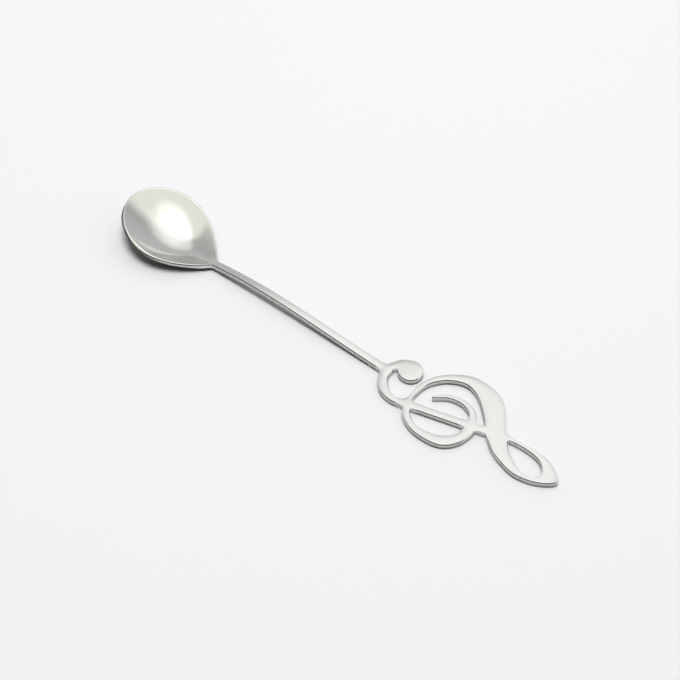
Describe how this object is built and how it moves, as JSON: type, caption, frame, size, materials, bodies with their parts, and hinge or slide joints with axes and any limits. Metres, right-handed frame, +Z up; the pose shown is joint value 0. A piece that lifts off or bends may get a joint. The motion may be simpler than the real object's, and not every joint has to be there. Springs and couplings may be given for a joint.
{
  "type": "teaspoon",
  "caption": "Slender polished steel teaspoon with an egg-shaped bowl, an arched stem and a flat pierced handle end in the form of a treble clef.",
  "frame": {"origin": "on the table, under the middle of the spoon's length and on the stem's centre line", "axes": "+X along the spoon from the bowl to the clef's tail, +Z up from the table, with the bowl open upwards"},
  "size_m": [0.134, 0.023, 0.0088],
  "materials": {
    "bowl_steel": "bright polished stainless steel, pressed dish",
    "handle_steel": "bright polished stainless steel plate with eased edges"
  },
  "bodies": {
    "root": {"bowl": "bowl_steel", "stem": "handle_steel", "clef_hook": "handle_steel", "clef_ball": "handle_steel", "clef_bar": "handle_steel", "clef_crown": "handle_steel", "clef_belly": "handle_steel", "clef_curl": "handle_steel", "clef_tail": "handle_steel"}
  },
  "joints": []
}
